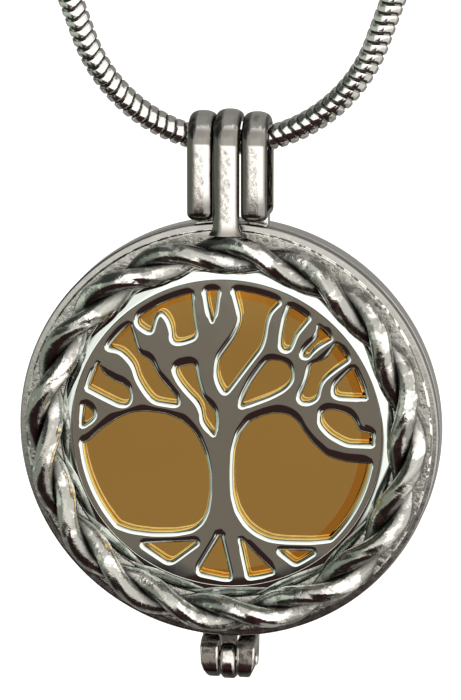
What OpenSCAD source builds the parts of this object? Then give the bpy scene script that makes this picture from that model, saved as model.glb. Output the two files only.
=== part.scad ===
// Keepsake urn pendant: a round hinged locket with a pierced tree window in a rope
// border, a gold capsule for ashes inside it, and a three-strap bail on a snake chain.
// Millimetres. +Z is up, the front faces -Y, and the origin is where the loop hangs.

/* [Locket] */
// Outer diameter of the two covers
locket_d = 30; // [28:0.5:34]
// Gap between the two closed covers
seam_gap = 0.1; // [0.06:0.02:0.2]
// Width of the rim between the capsule's room and the outer edge
rim_w = 2.05; // [1.9:0.05:2.4]

/* [Front cover] */
// Height of the front flange's side above the seam
flange_side_h = 0.85; // [0.75:0.05:1]
// Height of the front flange's face above the seam
flange_h = 1.1; // [1.05:0.05:1.3]
// Depth of the recess behind the front cover
front_recess = 0.6; // [0.5:0.05:0.7]
// Width of the flange left bare outside the rope
flange_bare_w = 0.6; // [0.4:0.05:0.9]
// Width of the bezel between the rope and the window
bezel_w = 0.55; // [0.5:0.05:1]
// Height of the bezel's crest above the seam
bezel_h = 2.7; // [2.4:0.1:3]
// Height of the tree plate's face above the seam
plate_h = 1.8; // [1.4:0.05:2]
// Width of the plain ring round the tree
tree_ring_w = 0.6; // [0.4:0.05:0.8]
// How far the tree sits below the middle of the window
tree_drop = 0.13; // [0:0.01:0.2]

/* [Rope border] */
// Full twists of the rope round the locket
rope_twists = 8; // [6:1:10]
// Diameter of each of the rope's two strands
strand_d = 1.56; // [1.4:0.02:1.7]
// Distance of each strand's middle from the rope's middle
strand_lay = 0.62; // [0.5:0.02:0.68]
// Height of the rope's middle above the seam
rope_h = 2.2; // [2:0.05:2.3]

/* [Back cover] */
// Depth of the capsule's room behind the seam
back_room = 3.3; // [3:0.1:4.5]
// Thickness of the back wall
back_wall = 0.85; // [0.7:0.05:1.2]
// Depth of the back flange's straight side
back_side_h = 1.25; // [1:0.05:1.5]
// How far the back cover's rounded edge reaches inwards
back_round = 2.4; // [2:0.1:3]

/* [Capsule] */
// Play of the capsule from side to side in its room
capsule_play = 0.5; // [0.3:0.05:1.8]
// Direction in which the capsule lies against its room's wall, in degrees from the right
capsule_lean = 205; // [180:1:360]
// Gap between the capsule's face and the front cover
capsule_front_gap = 0.15; // [0.1:0.05:0.25]
// Gap between the capsule and the back wall
capsule_back_gap = 0.25; // [0.1:0.05:0.35]
// Width of the bevel round the capsule's face
capsule_bevel = 0.6; // [0.4:0.05:0.8]
// Wall thickness of the capsule
capsule_wall = 0.6; // [0.4:0.05:0.8]
// Depth of the lid's bevelled side
lid_side_h = 0.7; // [0.6:0.05:1]
// Width of the flat rim round the lid's face
lid_rim_w = 1.25; // [1:0.05:1.6]
// Width of the groove between that rim and the mirror
lid_groove_w = 0.75; // [0.5:0.05:1]
// Depth of that groove
lid_groove_h = 0.3; // [0.1:0.05:0.4]

/* [Bail] */
// Width of each strap
strap_w = 1.82; // [1.5:0.02:2.1]
// Gap between neighbouring straps
strap_gap = 0.12; // [0.08:0.02:0.2]
// Thickness of the back cover's two straps
strap_t = 0.75; // [0.6:0.05:0.95]
// Thickness of the front cover's middle strap
tongue_t = 0.85; // [0.7:0.05:1]
// Radius of the straps' inside over the chain
bail_r = 1.45; // [1.4:0.05:1.8]
// Straight length of the closed straps
bail_leg = 4.7; // [4:0.05:6.5]
// How far past its crest the middle strap reaches, in degrees
tongue_reach = 25; // [10:1:40]
// Radius along the straps' outer edges
strap_edge = 0.55; // [0.2:0.05:0.6]

/* [Hinge] */
// Diameter of the outer knuckles
knuckle_d = 2.7; // [2.3:0.1:2.8]
// Diameter of the middle knuckle
middle_knuckle_d = 2.9; // [2.3:0.1:3.1]
// Width of the middle knuckle
middle_knuckle_w = 1.12; // [0.9:0.02:1.6]
// Width of each outer knuckle
outer_knuckle_w = 1.34; // [1:0.02:1.8]
// Gap between neighbouring knuckles
knuckle_gap = 0.1; // [0.06:0.02:0.2]
// Distance of the pin below the covers' edge
hinge_drop = 1.9; // [1.7:0.05:2.4]
// Diameter of the hinge pin
pin_d = 0.9; // [0.7:0.05:1.1]
// How far the outer knuckles' lower corners taper in
knuckle_taper = 0.5; // [0.2:0.05:0.6]
// Chamfer at the ends of the middle knuckle
knuckle_edge = 0.2; // [0.1:0.05:0.3]
// Thickness of the middle knuckle's web
web_t = 0.6; // [0.5:0.05:0.9]

/* [Chain] */
// Diameter of the snake chain
chain_d = 1.8; // [1.6:0.1:2]
// Length of the whole loop with its clasp
chain_l = 500; // [420:10:700]
// Radius of the bend in which the pendant hangs
drop_r = 11; // [10:0.5:16]
// Lean of the two strands out of the vertical, in degrees
strand_lean = 20; // [12:1:26]
// Length of the barrel clasp
clasp_l = 13; // [11:0.5:18]
// Diameter of the barrel clasp
clasp_d = 4; // [3.4:0.1:5]
// Depth of the clasp's bore for each end of the chain
clasp_bore = 4; // [3:0.5:5]

/* [Hidden] */
$fn = 64;

// Overlaps, clearances and small edges
sink = 0.15;          // overlap of shapes that are one casting
press_gap = 0.01;     // round a piece that is held fast
running_gap = 0.05;   // round the pin where it turns
edge_c = 0.25;        // small chamfers on the covers and the clasp
cove = 0.4;           // how far past the rope's middle the slope under it reaches

// Locket sizes that follow from the others
locket_r = locket_d / 2;
room_r = locket_r - rim_w;
rope_half = strand_d / 2 + strand_lay;
rope_r = locket_r - flange_bare_w - rope_half;
rope_in_r = rope_r - rope_half;
window_r = rope_in_r - bezel_w;
tree_r = window_r - tree_ring_w;
capsule_r = room_r - capsule_play;
capsule_face = front_recess - capsule_front_gap;
capsule_back = -back_room + capsule_back_gap;
capsule_off = capsule_play - seam_gap / 2;

// Bail sizes
strap_pitch = strap_w + strap_gap;
loop_low = locket_r + edge_c / 2 + seam_gap / 4;
bail_h = loop_low + strap_t + bail_leg;
tongue_r = bail_r + seam_gap / 2;

// Hinge sizes
pin_h = -locket_r - hinge_drop;
pin_r = pin_d / 2;
outer_knuckle_x = middle_knuckle_w / 2 + knuckle_gap;
hinge_half = outer_knuckle_x + outer_knuckle_w;
web_top = -locket_r + 0.3;
knuckle_r = knuckle_d / 2;
lug_rise = sqrt(pow(hinge_drop - seam_gap, 2) - pow(knuckle_r, 2)) - seam_gap;

// Chain loop: a small bend at the bottom, a leaning strand on each side, a wide bend
// round the neck and a straight stretch in which the clasp lies
clasp_half = clasp_l / 2;
low_turn = (90 - strand_lean) * PI / 180;
top_turn = (90 + strand_lean) * PI / 180;
bend_rise = (chain_l / 2 - drop_r * (low_turn + top_turn)
             - clasp_half * (1 + sin(strand_lean) - top_turn * cos(strand_lean)))
            / (cos(strand_lean) + top_turn * sin(strand_lean));
neck_r = drop_r + bend_rise * sin(strand_lean) - clasp_half * cos(strand_lean);
chain_top = clasp_d / 2;
neck_mid = chain_top - neck_r;
drop_mid = neck_mid - bend_rise;
chain_low = drop_mid - drop_r;
pendant_z = chain_low - bail_h;
chain_sides = 8;
neck_steps = 16;
drop_steps = 8;
strand_steps = 5;

function bend(mid, r, from, to, steps) =
    [for (i = [0:steps]) let (a = from + (to - from) * i / steps)
        [mid[0] + r * cos(a), 0, mid[1] + r * sin(a)]];
function between(a, b, steps) = [for (i = [1:steps - 1]) a + (b - a) * i / steps];

neck_bend = bend([clasp_half, neck_mid], neck_r, 90, -strand_lean, neck_steps);
drop_bend = bend([0, drop_mid], drop_r, -strand_lean, -90, drop_steps);
strand = between(neck_bend[neck_steps], drop_bend[0], strand_steps);
half_route = concat([[clasp_half - clasp_bore + seam_gap, 0, chain_top]],
                    neck_bend, strand, drop_bend);
chain_route = concat(half_route,
    [for (i = [len(half_route) - 2:-1:0]) let (p = half_route[i]) [-p[0], 0, p[2]]]);

// Tree openings, in hundredths of the window's radius from the tree's middle. Each is
// named for the gap that it leaves between trunk, limbs, roots and ring.
crown_left = [[-59, 72], [-50, 86], [-36, 96], [-23, 99], [-21, 78], [-19, 64],
    [-25, 61], [-32.5, 59], [-35.5, 61.5], [-35.3, 67.5], [-37, 73.5], [-40, 77.8],
    [-43, 79], [-45.5, 76.5], [-47.2, 70.5], [-48.5, 65], [-54, 67.5]];
limb_left = [[-77.5, 54], [-76, 64], [-66, 76], [-63, 74], [-60, 64], [-56, 50.5],
    [-48.5, 48], [-43.5, 37.5], [-34.5, 27], [-31, 22.5], [-31.3, 18.5], [-47, 20.5],
    [-52, 26], [-57.5, 35], [-60, 44], [-67, 52], [-72, 54]];
bough_left = [[-84, 52], [-82.5, 44], [-79, 37.5], [-71, 32.5], [-64.5, 30.5],
    [-62, 26.5], [-61.8, 22], [-64, 18.2], [-68.5, 17.2], [-80, 22.5], [-93, 29],
    [-95, 40], [-88, 52]];
fork_left = [[-34.5, 43], [-20, 46.5], [-17.7, 34.5], [-14.6, 23.5], [-7.5, 16.5],
    [-6, 12], [-7.4, -1.5], [-10, 1], [-15.8, 8.5], [-16.2, 16.5], [-19.5, 22],
    [-25.5, 28], [-31, 35]];
notch_top = [[-14.5, 99], [-4.5, 99], [-6.5, 81.5], [-9, 71.5], [-12, 81.5]];
crown_mid = [[3.5, 99], [20, 99], [38, 92], [33, 86.5], [28, 81.5], [25.7, 74.5],
    [24.8, 66.5], [22.5, 58.5], [16.5, 50.5], [9.5, 41], [0.5, 28.5], [-2, 27.5],
    [-5.6, 34.5], [-7, 41], [-5.8, 49], [-1, 56], [4, 63], [7.7, 70.5], [9, 77.5],
    [7.5, 84.5]];
crown_right = [[41.5, 90], [56, 82], [49, 73], [44.5, 67.5], [42.3, 60.5], [40, 56.5],
    [35.5, 57], [34.5, 61.5], [35.8, 70.5], [37.3, 77.5], [40, 83.5]];
leaf_upper = [[59.8, 78], [71, 68], [66, 63.8], [60, 61], [55.5, 57], [52, 51.5],
    [47.5, 53.8], [53.5, 60.5], [57.5, 64.5], [58.6, 70.5]];
leaf_lower = [[71.5, 64.5], [83, 56], [78, 51.5], [70.5, 46], [64.5, 41], [61, 37],
    [59.5, 31.5], [58.6, 26], [51, 22], [45.5, 25.3], [50, 33.5], [52.2, 41.5],
    [53.5, 49], [62, 50.5], [67, 57]];
heart_right = [[24.5, 48], [28, 50.5], [37, 49.5], [41.5, 46], [42.8, 40.5],
    [41.3, 36], [36.5, 31], [27.5, 26], [14, 20.5], [8, 17.8], [10, 24.5],
    [15, 34.5], [21.5, 44]];
sail_right = [[82, 48], [95, 40], [99, 27], [71, 27.2], [68.6, 30], [69.3, 34.5],
    [74, 40]];
lens_right = [[62, 18.3], [69, 19.3], [77.5, 17.3], [83.5, 12.8], [85.3, 6.5],
    [88.5, 4.8], [99, 4], [99, -3.2], [77.5, -3.2], [67.5, 1.8], [61, 8], [59.6, 13.5]];
moon_right = [[14.5, 9.8], [24.5, 14.2], [33, 16], [41, 14.6], [46.5, 11],
    [50.5, 4.2], [56, -3], [65.5, -11.8], [76.5, -14.8], [99, -15.8], [97, -34],
    [82.6, -58.7], [75.9, -63.6], [67, -66.3], [55, -68], [38.4, -68.3], [28.4, -67.6],
    [19.6, -64.1], [12.4, -58.2], [6.9, -49.5], [3.9, -38], [3.5, -25], [4.1, -11],
    [7.2, 0]];
moon_left = [[-99, -10], [-91, -7.5], [-82, 0.9], [-73.5, 7.5], [-63, 12.5],
    [-52.5, 14], [-38.5, 12.5], [-28, 8.5], [-21.5, 2.8], [-17.4, -2.8], [-12.7, -14],
    [-10.5, -25], [-10.3, -37], [-12, -49.5], [-15.6, -57.5], [-22, -63.3],
    [-33.5, -65.8], [-48, -66.5], [-62, -65.2], [-71.5, -62.2], [-80, -56], [-99, -40]];
wedge_left = [[-99, 17], [-91.5, 17.5], [-84, 10.5], [-92.5, 2.2], [-99, 2.5]];
root_left = [[-56.7, -73.7], [-16.9, -70.6], [-37, -86.4]];
root_mid_left = [[-3.6, -64], [-19.6, -91.6], [3.6, -95.6]];
root_mid_right = [[8, -66.3], [14.4, -96], [32.8, -90.7]];
root_right = [[32.3, -74.4], [59.4, -74.4], [45.9, -84.5]];
tree_openings = [crown_left, limb_left, bough_left, fork_left, notch_top, crown_mid,
    crown_right, leaf_upper, leaf_lower, heart_right, sail_right, lens_right,
    moon_right, moon_left, wedge_left, root_left, root_mid_left, root_mid_right,
    root_right];
corner_reach = 3.2;   // how far the rounding of an opening's corner reaches
corner_share = 0.45;  // and the most of a side that it takes

// An outline with each corner drawn as a short curve
function toward(a, b) = let (l = norm(b - a)) a + (b - a) * min(corner_reach / l, corner_share);
function softened(outline) = let (n = len(outline))
    [for (i = [0:n - 1])
        let (p = outline[i], a = toward(p, outline[(i + n - 1) % n]),
             b = toward(p, outline[(i + 1) % n]))
        each [a, (a + 2 * p + b) / 4, b]];

// Distance from the rope's middle to its surface, for a direction across its two strands
function rope_reach(a) = strand_lay * abs(cos(a))
    + sqrt(pow(strand_d / 2, 2) - pow(strand_lay * sin(a), 2));
rope_sections = 14 * rope_twists;
rope_points = 12;
rope_start = -22;     // turn of the strands at the top of the locket

// A shape drawn flat with its front up is stood up to face the front
module facing_front() rotate([90, 0, 0]) children();

// A shape turned about its own Z axis is laid along X
module along_x() rotate([90, 0, 90]) children();

module rope() {
    points = [for (i = [0:rope_sections - 1], k = [0:rope_points - 1])
        let (t = 360 * i / rope_sections, a = 360 * k / rope_points,
             turn = rope_start + rope_twists * t + a,
             r = rope_r + rope_reach(a) * cos(turn))
        [r * sin(t), r * cos(t), rope_h + rope_reach(a) * sin(turn)]];
    faces = [for (i = [0:rope_sections - 1], k = [0:rope_points - 1])
        let (j = (i + 1) % rope_sections, l = (k + 1) % rope_points,
             a = i * rope_points + k, b = i * rope_points + l,
             c = j * rope_points + l, d = j * rope_points + k)
        each [[d, b, a], [d, c, b]]];
    polyhedron(points, faces);
}

// Section of a strap: its inside at r_in from the turning axis, its outer edges rounded
module strap_section(r_in, t) {
    h = strap_w / 2;
    flat = strap_edge * 0.85;
    round = [for (a = [0:22.5:90])
        [r_in + t - flat * (1 - sin(a)), h - strap_edge * (1 - cos(a))]];
    polygon(concat([[r_in, h]], round, [for (i = [4:-1:0]) [round[i][0], -round[i][1]]],
                   [[r_in, -h]]));
}

module strap_leg(r_in, t, l) rotate([90, 0, 0]) linear_extrude(l) strap_section(r_in, t);

// A closed strap round the chain's axis, with its straight stretch hanging down
module closed_strap() {
    rotate_extrude(angle = 180) strap_section(bail_r, strap_t);
    strap_leg(bail_r, strap_t, bail_leg);
    mirror([1, 0, 0]) strap_leg(bail_r, strap_t, bail_leg);
    for (side = [0, 1]) mirror([side, 0, 0]) translate([bail_r, -bail_leg, 0]) {
        rotate([0, 0, -90]) rotate_extrude(angle = 90) strap_section(0, strap_t);
        rotate([0, 0, -90]) strap_leg(0, strap_t, bail_r);
    }
}

// The front cover's strap, which rises from the border and hooks over the chain
module tongue() {
    cut = 2 * (tongue_r + tongue_t);
    difference() {
        rotate_extrude(angle = 180) strap_section(tongue_r, tongue_t);
        rotate([0, 0, 90 - tongue_reach]) translate([0, -cut, -cut / 2]) cube(cut);
    }
    mirror([1, 0, 0]) strap_leg(tongue_r, tongue_t, bail_h - rope_r - rope_half + sink);
}

// The front cover's knuckle and the web that carries it, drawn round the pin's axis
module middle_knuckle() {
    w = middle_knuckle_w / 2;
    r = middle_knuckle_d / 2;
    bore_r = pin_r + running_gap;
    along_x() rotate_extrude() polygon([[bore_r, -w], [r - knuckle_edge, -w],
        [r, -w + knuckle_edge], [r, w - knuckle_edge], [r - knuckle_edge, w], [bore_r, w]]);
    translate([-w, -seam_gap / 2 - web_t, r - edge_c])
        cube([middle_knuckle_w, web_t, web_top - pin_h - r + edge_c]);
}

// The back cover's right lug: flat in front, round the pin below, tapered to the side
module lug() {
    w = outer_knuckle_w;
    top = web_top - pin_h;
    translate([outer_knuckle_x, 0, 0]) difference() {
        intersection() {
            along_x() linear_extrude(w) {
                circle(knuckle_r);
                polygon([[-knuckle_r, 0], [-knuckle_r, lug_rise],
                    [-knuckle_r + lug_rise / 3, lug_rise * 4 / 3], [seam_gap, lug_rise * 4 / 3],
                    [seam_gap, top], [back_side_h - seam_gap, top], [knuckle_r, lug_rise],
                    [knuckle_r, 0]]);
            }
            facing_front() translate([0, 0, -knuckle_r - sink])
                linear_extrude(knuckle_d + 2 * sink) polygon([[0, -knuckle_r - sink],
                    [w - knuckle_taper, -knuckle_r - sink], [w - knuckle_taper, -knuckle_r],
                    [w - knuckle_taper / 4, -knuckle_r / 3], [w, knuckle_r / 3],
                    [w, top + sink], [0, top + sink]]);
        }
        translate([-sink, 0, 0]) along_x() cylinder(r = pin_r + press_gap, h = w + 2 * sink);
    }
}

module tree_plate_cut() {
    translate([0, -tree_drop, 0]) linear_extrude(bezel_h) intersection() {
        circle(tree_r);
        union() for (outline = tree_openings)
            polygon(softened(outline) * window_r / 100);
    }
}

module front_dish() {
    bezel_out = rope_in_r + sink;
    bezel_in = window_r + bezel_w * 0.6;
    rotate_extrude() polygon([[0, front_recess], [room_r, front_recess],
        [room_r, seam_gap / 2], [locket_r, seam_gap / 2], [locket_r, flange_side_h],
        [locket_r - edge_c, flange_h], [rope_r + cove, flange_h],
        [bezel_out, rope_h + seam_gap], [bezel_out, bezel_h - edge_c],
        [bezel_out - edge_c, bezel_h],
        [bezel_in, bezel_h], [window_r, plate_h], [0, plate_h]]);
}

module front_cover() color("silver") translate([0, 0, pendant_z]) {
    facing_front() {
        difference() {
            front_dish();
            tree_plate_cut();
        }
        rope();
        // Root of the middle strap on the flange
        translate([-strap_w / 2, rope_r + strand_lay, seam_gap])
            cube([strap_w, locket_r + edge_c - rope_r - strand_lay, tongue_r + sink]);
    }
    translate([0, 0, bail_h]) along_x() tongue();
    translate([0, 0, pin_h]) middle_knuckle();
}

// Outline of the back cover's outside, from the seam round its edge to the middle
function back_edge() = [for (i = [0:8]) let (a = 90 * i / 8)
    [locket_r - back_round * (1 - cos(a)),
     -back_side_h - (back_room + back_wall - back_side_h) * sin(a)]];

module back_cover() color("silver") translate([0, 0, pendant_z]) {
    facing_front() rotate_extrude() polygon(concat(
        [[room_r, -seam_gap / 2], [locket_r, -seam_gap / 2]], back_edge(),
        [[0, -back_room - back_wall], [0, -back_room], [room_r, -back_room]]));
    for (side = [-1, 1]) {
        translate([side * strap_pitch, 0, bail_h]) along_x() closed_strap();
        // Root of the strap on the rim
        translate([side * strap_pitch - strap_w / 2, seam_gap, locket_r - back_side_h / 2])
            cube([strap_w, back_side_h, loop_low + strap_t - sink - locket_r + back_side_h / 2]);
        mirror([side < 0 ? 1 : 0, 0, 0]) translate([0, 0, pin_h]) lug();
    }
}

module hinge_pin() color("gray") translate([-hinge_half, 0, pendant_z + pin_h])
    along_x() cylinder(r = pin_r, h = 2 * hinge_half);

// Place of the capsule in its room
module capsule_place() translate([0, 0, pendant_z]) facing_front()
    translate([capsule_off * cos(capsule_lean), capsule_off * sin(capsule_lean), 0]) children();

module capsule_lid() color("goldenrod") capsule_place() rotate_extrude() {
    side = capsule_face - capsule_bevel / 2;
    spigot_r = capsule_r - capsule_bevel - capsule_wall;
    rim = capsule_face - lid_side_h - capsule_bevel / 2;
    rim_in = capsule_r - capsule_bevel - lid_rim_w;
    under = capsule_face - capsule_wall;
    polygon([[0, capsule_face], [rim_in - lid_groove_w, capsule_face],
        [rim_in - lid_groove_w / 2, capsule_face - lid_groove_h], [rim_in, capsule_face],
        [capsule_r - capsule_bevel, capsule_face], [capsule_r, side], [capsule_r, rim],
        [spigot_r, rim], [spigot_r, rim - lid_side_h],
        [spigot_r - capsule_wall, rim - lid_side_h],
        [spigot_r - capsule_wall, under], [0, under]]);
}

module capsule_cup() color("goldenrod") capsule_place() rotate_extrude() {
    rim = capsule_face - lid_side_h - capsule_bevel / 2 - press_gap;
    inside = capsule_r - capsule_bevel - capsule_wall + press_gap;
    polygon([[0, capsule_back], [capsule_r - edge_c, capsule_back],
        [capsule_r, capsule_back + edge_c], [capsule_r, rim], [inside, rim],
        [inside, capsule_back + capsule_wall], [0, capsule_back + capsule_wall]]);
}

// A tube swept along the route, which lies in the XZ plane
module snake_chain() color("silver") {
    n = len(chain_route);
    points = [for (i = [0:n - 1])
        let (t = chain_route[min(i + 1, n - 1)] - chain_route[max(i - 1, 0)],
             out = [t[2], 0, -t[0]] / norm(t))
        for (k = [0:chain_sides - 1]) let (a = 360 * (k + 0.5) / chain_sides)
            chain_route[i] + chain_d / 2 * (cos(a) * out + sin(a) * [0, 1, 0])];
    walls = [for (i = [0:n - 2], k = [0:chain_sides - 1])
        let (l = (k + 1) % chain_sides)
        [(i + 1) * chain_sides + k, (i + 1) * chain_sides + l,
         i * chain_sides + l, i * chain_sides + k]];
    ends = [[for (k = [0:chain_sides - 1]) k],
            [for (k = [chain_sides - 1:-1:0]) (n - 1) * chain_sides + k]];
    polyhedron(points, concat(walls, ends));
}

module barrel_clasp() color("silver") translate([0, 0, chain_top]) along_x() {
    r = clasp_d / 2;
    difference() {
        rotate_extrude() polygon([[0, -clasp_half], [r - 3 * edge_c, -clasp_half],
            [r - edge_c, -clasp_half + edge_c], [r, -clasp_half + 3 * edge_c],
            [r, clasp_half - 3 * edge_c], [r - edge_c, clasp_half - edge_c],
            [r - 3 * edge_c, clasp_half], [0, clasp_half]]);
        for (side = [0, 1]) mirror([0, 0, side])
            translate([0, 0, clasp_half - clasp_bore])
                cylinder(r = chain_d / 2 + running_gap, h = clasp_bore + sink);
    }
}

front_cover();
back_cover();
hinge_pin();
capsule_lid();
capsule_cup();
snake_chain();
barrel_clasp();
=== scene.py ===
import math

import bmesh
import bpy
from mathutils import Matrix, Vector
from mathutils.geometry import intersect_line_line_2d
from mathutils.kdtree import KDTree


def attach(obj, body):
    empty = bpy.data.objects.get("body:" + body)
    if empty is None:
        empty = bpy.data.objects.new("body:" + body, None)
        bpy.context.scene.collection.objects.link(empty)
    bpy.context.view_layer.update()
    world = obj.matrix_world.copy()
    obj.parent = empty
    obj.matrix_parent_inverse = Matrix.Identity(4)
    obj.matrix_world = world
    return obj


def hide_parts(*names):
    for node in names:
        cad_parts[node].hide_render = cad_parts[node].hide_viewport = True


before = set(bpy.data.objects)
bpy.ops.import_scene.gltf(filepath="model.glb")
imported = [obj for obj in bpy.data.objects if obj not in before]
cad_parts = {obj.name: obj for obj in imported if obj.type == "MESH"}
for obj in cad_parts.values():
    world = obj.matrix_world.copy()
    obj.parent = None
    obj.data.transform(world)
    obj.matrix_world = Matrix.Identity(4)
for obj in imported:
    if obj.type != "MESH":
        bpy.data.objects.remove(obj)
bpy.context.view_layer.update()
scene = bpy.context.scene
scene.view_settings.view_transform = "Standard"

mm = 0.001
# in millimetres: the middle of the covers, which the locket's pieces are shaped round, and the chain's top
locketCentre = Vector((0, 0, -218.138))
hangPoint = Vector((0, 0, 0))


# camera
cameraLook = {
    "azimuth": 8.75,
    "elevation": 12.0,
    "distance": 0.33,
    "aim": (0.000036, 0.0, -0.212457),
    "lens": 239.9,
}


def placeCamera(look):
    az, el = math.radians(look["azimuth"]), math.radians(look["elevation"])
    away = Vector((math.sin(az) * math.cos(el), -math.cos(az) * math.cos(el), math.sin(el)))
    data = bpy.data.cameras.new("camera")
    data.sensor_width = 36
    data.lens = look["lens"]
    data.clip_start = 0.01
    camera = bpy.data.objects.new("camera", data)
    scene.collection.objects.link(camera)
    camera.location = Vector(look["aim"]) + away * look["distance"]
    camera.rotation_euler = away.to_track_quat("Z", "Y").to_euler()
    scene.camera = camera


placeCamera(cameraLook)
print("camera placed")


# node helpers
def newNode(tree, kind, **sockets):
    node = tree.nodes.new(kind)
    for key, value in sockets.items():
        if hasattr(node, key):
            setattr(node, key, value)
        else:
            node.inputs[key.replace("_", " ")].default_value = value
    return node


def feed(tree, source, target):
    tree.links.new(source, target)


def maths(tree, operation, a, b=None, c=None):
    node = tree.nodes.new("ShaderNodeMath")
    node.operation = operation
    for slot, value in zip(node.inputs, (a, b, c)):
        if value is None:
            continue
        if isinstance(value, (int, float)):
            slot.default_value = value
        else:
            feed(tree, value, slot)
    return node.outputs[0]


def ease(tree, value, low, high, toLow=0.0, toHigh=1.0):
    node = tree.nodes.new("ShaderNodeMapRange")
    node.interpolation_type = "SMOOTHSTEP"
    feed(tree, value, node.inputs["Value"])
    for name, number in (("From Min", low), ("From Max", high), ("To Min", toLow), ("To Max", toHigh)):
        node.inputs[name].default_value = number
    return node.outputs[0]


def mixColour(tree, factor, first, second):
    node = tree.nodes.new("ShaderNodeMix")
    node.data_type = "RGBA"
    feed(tree, factor, node.inputs[0])
    for slot, colour in ((node.inputs[6], first), (node.inputs[7], second)):
        if isinstance(colour, tuple):
            slot.default_value = (*colour, 1)
        else:
            feed(tree, colour, slot)
    return node.outputs[2]


# studio: what the polished metal mirrors
studioLight = {
    "around": (0.36, 0.35, 0.33),  # where there is no panel
    # degrees right of the front from and to, degrees above level from and to, softness, colour;
    # later ones lie on top
    "panels": [
        (-80, 62, -82, -16, 2, (0.034, 0.033, 0.030)),
        (-46, 28, -82, -16, 4, (0.052, 0.024, 0.022)),
        (36, 120, -55, -20, 5, (0.95, 0.91, 0.86)),
        (-200, 200, 64, 95, 4, (0.42, 0.41, 0.39)),
        (-38, 62, -12, 64, 1, (1.50, 1.47, 1.42)),
        (13, 105, -27, 42, 3, (1.70, 1.66, 1.60)),
        (-122, -36, -25, 14, 3, (0.60, 0.68, 0.58)),
        (-130, -38, 14, 62, 5, (0.085, 0.100, 0.088)),
        (62, 130, 42, 72, 5, (0.33, 0.32, 0.30)),
        (-20, 34, -11.0, 24, 3, (2.1, 2.05, 1.95)),
        (-25, 12, -15.1, -10.7, 0.4, (0.281, 0.223, 0.184)),
    ],
    "floorSize": 8.0,
    "floorHeight": -0.262,
    "floorColour": (0.9, 0.9, 0.895),
    "floorRoughness": 0.9,
    "floorGlow": 0.7,
    "glowColour": (1, 1, 0.995),
}


def between(tree, value, low, high, soft):
    rise = ease(tree, value, low - soft, low + soft)
    fall = ease(tree, value, high - soft, high + soft, 1.0, 0.0)
    return maths(tree, "MULTIPLY", rise, fall)


def lightStudio(look):
    world = bpy.data.worlds.new("studio")
    scene.world = world
    world.use_nodes = True
    tree = world.node_tree
    tree.nodes.clear()
    place = tree.nodes.new("ShaderNodeTexCoord")
    split = tree.nodes.new("ShaderNodeSeparateXYZ")
    feed(tree, place.outputs["Generated"], split.inputs[0])
    towardsFront = maths(tree, "MULTIPLY", split.outputs[1], -1.0)
    aside = maths(tree, "DEGREES", maths(tree, "ARCTAN2", split.outputs[0], towardsFront))
    above = maths(tree, "DEGREES", maths(tree, "ARCSINE", split.outputs[2]))
    colour = look["around"]
    for left, right, low, high, soft, shade in look["panels"]:
        across, up = between(tree, aside, left, right, soft), between(tree, above, low, high, soft)
        colour = mixColour(tree, maths(tree, "MULTIPLY", across, up), colour, shade)
    back = tree.nodes.new("ShaderNodeBackground")
    feed(tree, colour, back.inputs["Color"])
    out = tree.nodes.new("ShaderNodeOutputWorld")
    feed(tree, back.outputs[0], out.inputs["Surface"])

    bm = bmesh.new()
    bmesh.ops.create_grid(bm, x_segments=8, y_segments=8, size=look["floorSize"] / 2)
    bmesh.ops.translate(bm, verts=bm.verts, vec=(0, 0, look["floorHeight"]))
    mesh = bpy.data.meshes.new("floor")
    bm.to_mesh(mesh)
    floor = bpy.data.objects.new("floor", mesh)
    scene.collection.objects.link(floor)
    paint = bpy.data.materials.new("floorPaint")
    paint.use_nodes = True
    shader = paint.node_tree.nodes["Principled BSDF"]
    shader.inputs["Base Color"].default_value = (*look["floorColour"], 1)
    shader.inputs["Roughness"].default_value = look["floorRoughness"]
    shader.inputs["Emission Color"].default_value = (*look["glowColour"], 1)
    shader.inputs["Emission Strength"].default_value = look["floorGlow"]
    mesh.materials.append(paint)
    floor.visible_glossy = False  # the metal mirrors the studio alone


lightStudio(studioLight)
print("studio lit")


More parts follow.
